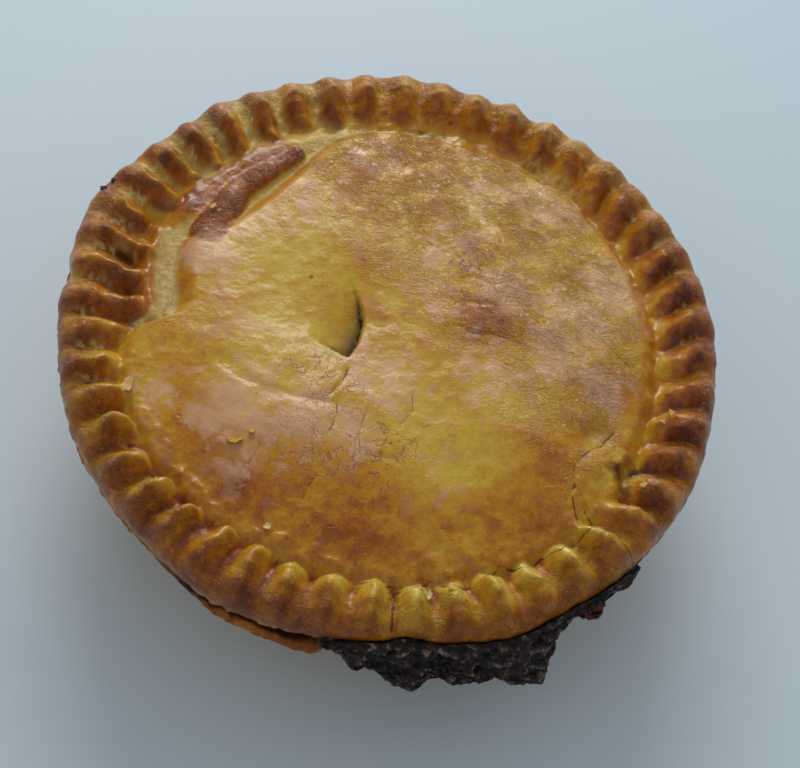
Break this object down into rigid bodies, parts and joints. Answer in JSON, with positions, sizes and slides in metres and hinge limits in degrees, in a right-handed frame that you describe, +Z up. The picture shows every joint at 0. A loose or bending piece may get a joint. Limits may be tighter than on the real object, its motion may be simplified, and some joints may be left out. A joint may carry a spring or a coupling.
{
  "type": "meat and potato pie",
  "caption": "Round baked pie with a tapered case, a glazed domed lid with a crimped border, a stabbed vent and a burnt leak of filling at one side.",
  "frame": {"origin": "middle of the flat base the pie rests on", "axes": "+Z up through the lid, -Y towards the side where filling has leaked and burnt"},
  "size_m": [0.1191, 0.1219, 0.0383],
  "materials": {
    "baked_case": "matt baked pastry",
    "burnt_filling": "burnt, slightly shiny",
    "glazed_crust": "egg-washed golden pastry"
  },
  "bodies": {
    "root": {"pastry_case": "baked_case", "filling": "burnt_filling", "pastry_lid": "glazed_crust"}
  },
  "joints": []
}
